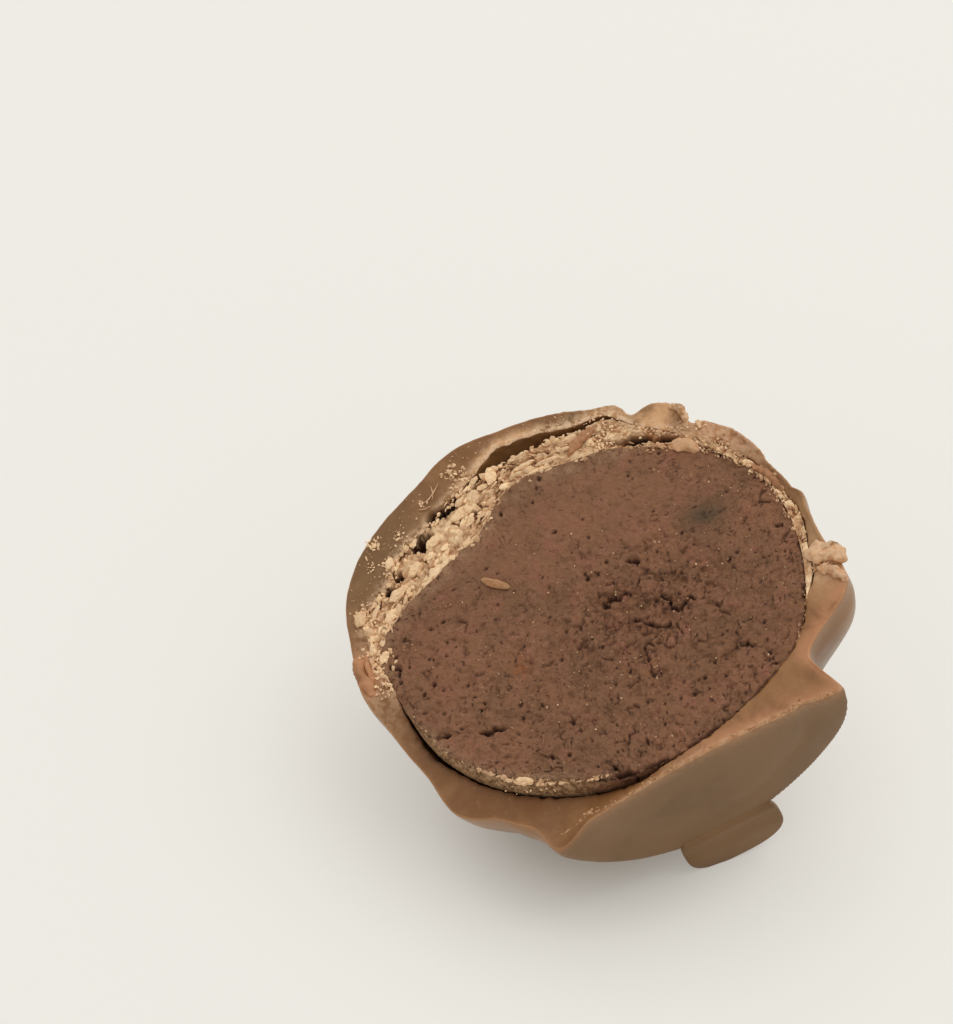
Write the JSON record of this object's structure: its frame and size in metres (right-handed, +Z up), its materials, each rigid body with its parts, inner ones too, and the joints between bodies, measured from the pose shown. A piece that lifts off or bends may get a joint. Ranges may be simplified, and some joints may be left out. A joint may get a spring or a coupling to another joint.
{
  "type": "chocolate truffle half",
  "caption": "Half of a hand-dipped milk chocolate truffle lying on its rounded back, cut face up: dark ganache filling, pale crumbly inner coat, thick smooth coating with a flat foot.",
  "frame": {"origin": "middle of the footprint, on the surface the half lies on", "axes": "+Z up; the cut face looks up and tips towards -Y; the dome is towards +Y and the flat foot towards -Y"},
  "size_m": [0.0386, 0.0362, 0.024],
  "materials": {
    "milk_chocolate": "satin set chocolate, matt where it is cut",
    "pale_inner_coat": "dry and crumbly",
    "ganache": "matt, finely pitted where it is cut"
  },
  "bodies": {
    "root": {"coating": "milk_chocolate", "inner_coat": "pale_inner_coat", "ganache": "ganache"}
  },
  "joints": []
}
